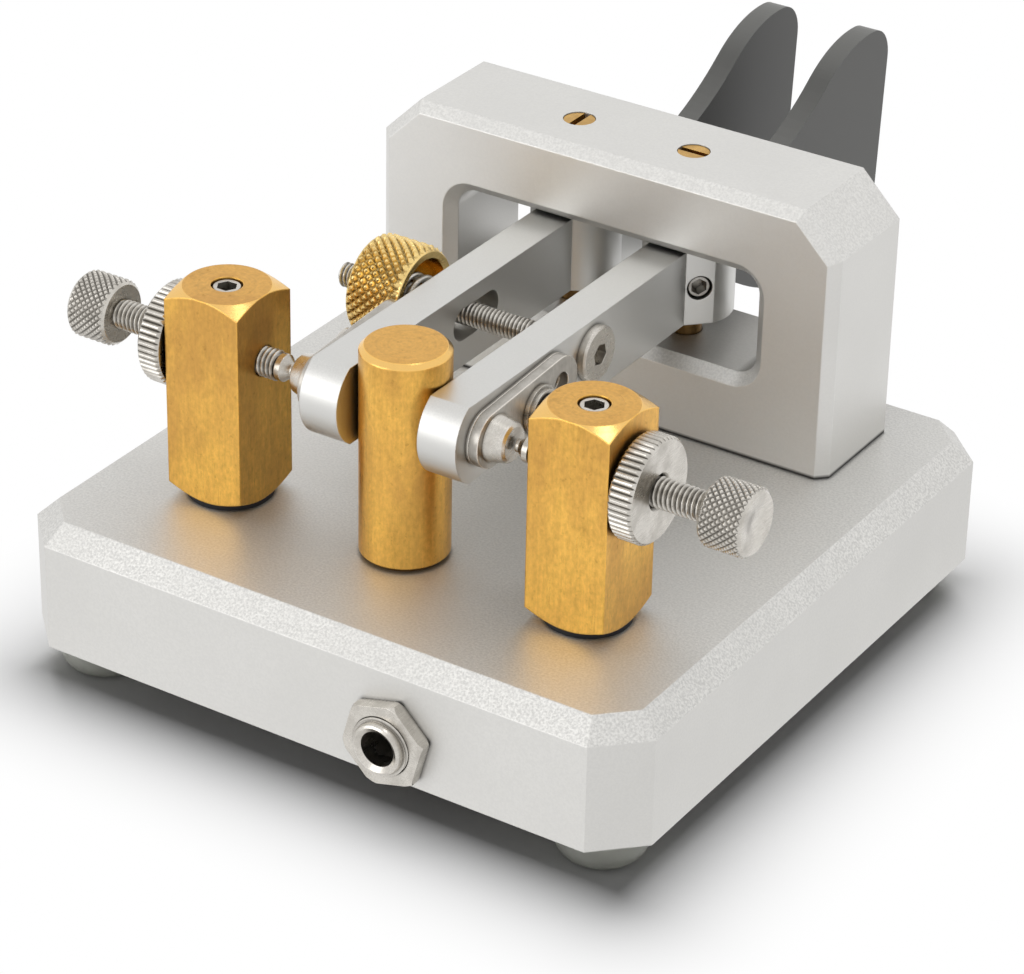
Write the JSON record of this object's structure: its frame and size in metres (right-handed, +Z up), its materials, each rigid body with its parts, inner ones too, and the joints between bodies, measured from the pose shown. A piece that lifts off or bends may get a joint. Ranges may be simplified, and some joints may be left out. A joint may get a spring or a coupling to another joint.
{
  "type": "telegraph key",
  "caption": "Twin-lever telegraph key: aluminium base and pivot frame, sprung levers with finger pieces, brass contact posts with fine contact screws, and a plug socket in the front edge.",
  "frame": {"origin": "on the desk under the middle of the whole key", "axes": "+X to the right seen from the socket side, +Y from the socket to the finger pieces, +Z up"},
  "size_m": [0.075, 0.0992, 0.0455],
  "materials": {
    "anodised_aluminium": "bead blasted, clear anodised",
    "bright_metal": "bright",
    "brass": "brushed",
    "gold_brass": "knurled, bright",
    "steel": "nickel plated",
    "black_plastic": "matte",
    "paddle_plastic": "satin",
    "rubber": "matte, slightly clear",
    "red_insulation": "gloss",
    "blue_insulation": "gloss",
    "copper_insulation": "gloss"
  },
  "bodies": {
    "base": {"base_plate": "anodised_aluminium", "pivot_frame": "anodised_aluminium", "underside_cover": "bright_metal", "upper_pivot_screws": "brass", "lower_pivot_screws": "brass", "left_contact_post": "brass", "right_contact_post": "brass", "centre_post": "brass", "solder_lugs": "brass", "socket_lugs": "brass", "cover_screws": "steel", "frame_bolts": "steel", "post_bolts": "steel", "post_lock_screws": "steel", "centre_post_bolt": "steel", "socket_bushing": "steel", "socket_nut": "steel", "post_washers": "black_plastic", "post_bushes": "black_plastic", "socket_body": "black_plastic", "rubber_feet": "rubber", "left_wire": "red_insulation", "right_wire": "blue_insulation", "ground_wire": "copper_insulation"},
    "left_lever": {"left_lever": "anodised_aluminium", "left_pivot_shaft": "steel", "left_hub_screw": "steel", "left_paddle": "paddle_plastic", "left_paddle_screws": "steel", "left_plate_spacer": "bright_metal", "left_contact_plate": "bright_metal", "left_contact_stud": "steel", "left_plate_screw": "steel"},
    "left_contact_tip": {"left_contact_tip": "bright_metal"},
    "left_contact_screw": {"left_contact_screw": "steel"},
    "left_locknut": {"left_locknut": "steel"},
    "right_lever": {"right_lever": "anodised_aluminium", "right_pivot_shaft": "steel", "right_hub_screw": "steel", "right_paddle": "paddle_plastic", "right_paddle_screws": "steel", "right_plate_spacer": "bright_metal", "right_contact_plate": "bright_metal", "right_contact_stud": "steel", "right_plate_screw": "steel", "tension_rod": "steel"},
    "right_contact_tip": {"right_contact_tip": "bright_metal"},
    "right_contact_screw": {"right_contact_screw": "steel"},
    "right_locknut": {"right_locknut": "steel"},
    "tension_spring": {"tension_spring": "steel"},
    "tension_knob": {"tension_knob": "gold_brass"}
  },
  "joints": [
    {"name": "left_lever_swing", "type": "hinge", "parent": "base", "child": "left_lever", "pos_m": [-0.0066, 0.0092, 0.0327], "axis": [0, 0, -1], "range_deg": [0, 0.49], "stiffness_Nm_per_rad": 0.25, "springref_deg": -2.86},
    {"name": "left_contact_advance", "type": "slide", "parent": "base", "child": "left_contact_tip", "axis": [-1, 0, 0], "range_m": [0, 0.001]},
    {"name": "left_contact_turn", "type": "hinge", "parent": "left_contact_tip", "child": "left_contact_screw", "pos_m": [-0.03, -0.03095, 0.03285], "axis": [-1, 0, 0], "range_deg": [0, 721]},
    {"name": "left_locknut_turn", "type": "hinge", "parent": "base", "child": "left_locknut", "pos_m": [-0.026, -0.03095, 0.03285], "axis": [-1, 0, 0], "range_deg": [-360, 360]},
    {"name": "right_lever_swing", "type": "hinge", "parent": "base", "child": "right_lever", "pos_m": [0.0066, 0.0092, 0.0327], "axis": [0, 0, 1], "range_deg": [0, 0.49], "stiffness_Nm_per_rad": 0.25, "springref_deg": -2.86},
    {"name": "right_contact_advance", "type": "slide", "parent": "base", "child": "right_contact_tip", "axis": [1, 0, 0], "range_m": [0, 0.001]},
    {"name": "right_contact_turn", "type": "hinge", "parent": "right_contact_tip", "child": "right_contact_screw", "pos_m": [0.03, -0.03095, 0.03285], "axis": [1, 0, 0], "range_deg": [0, 721]},
    {"name": "right_locknut_turn", "type": "hinge", "parent": "base", "child": "right_locknut", "pos_m": [0.026, -0.03095, 0.03285], "axis": [1, 0, 0], "range_deg": [-360, 360]},
    {"name": "tension_advance", "type": "slide", "parent": "right_lever", "child": "tension_spring", "axis": [-1, 0, 0], "range_m": [-0.00045, 0.00045], "deforming": ["tension_spring"]},
    {"name": "tension_knob_turn", "type": "hinge", "parent": "tension_spring", "child": "tension_knob", "pos_m": [-0.013, -0.01225, 0.0332], "axis": [-1, 0, 0], "range_deg": [-361, 361]}
  ],
  "couplings": [
    {"joint": "left_contact_turn", "follows": "left_contact_advance", "rad_per_m": 12566},
    {"joint": "right_contact_turn", "follows": "right_contact_advance", "rad_per_m": 12566},
    {"joint": "tension_knob_turn", "follows": "tension_advance", "rad_per_m": 13963}
  ]
}
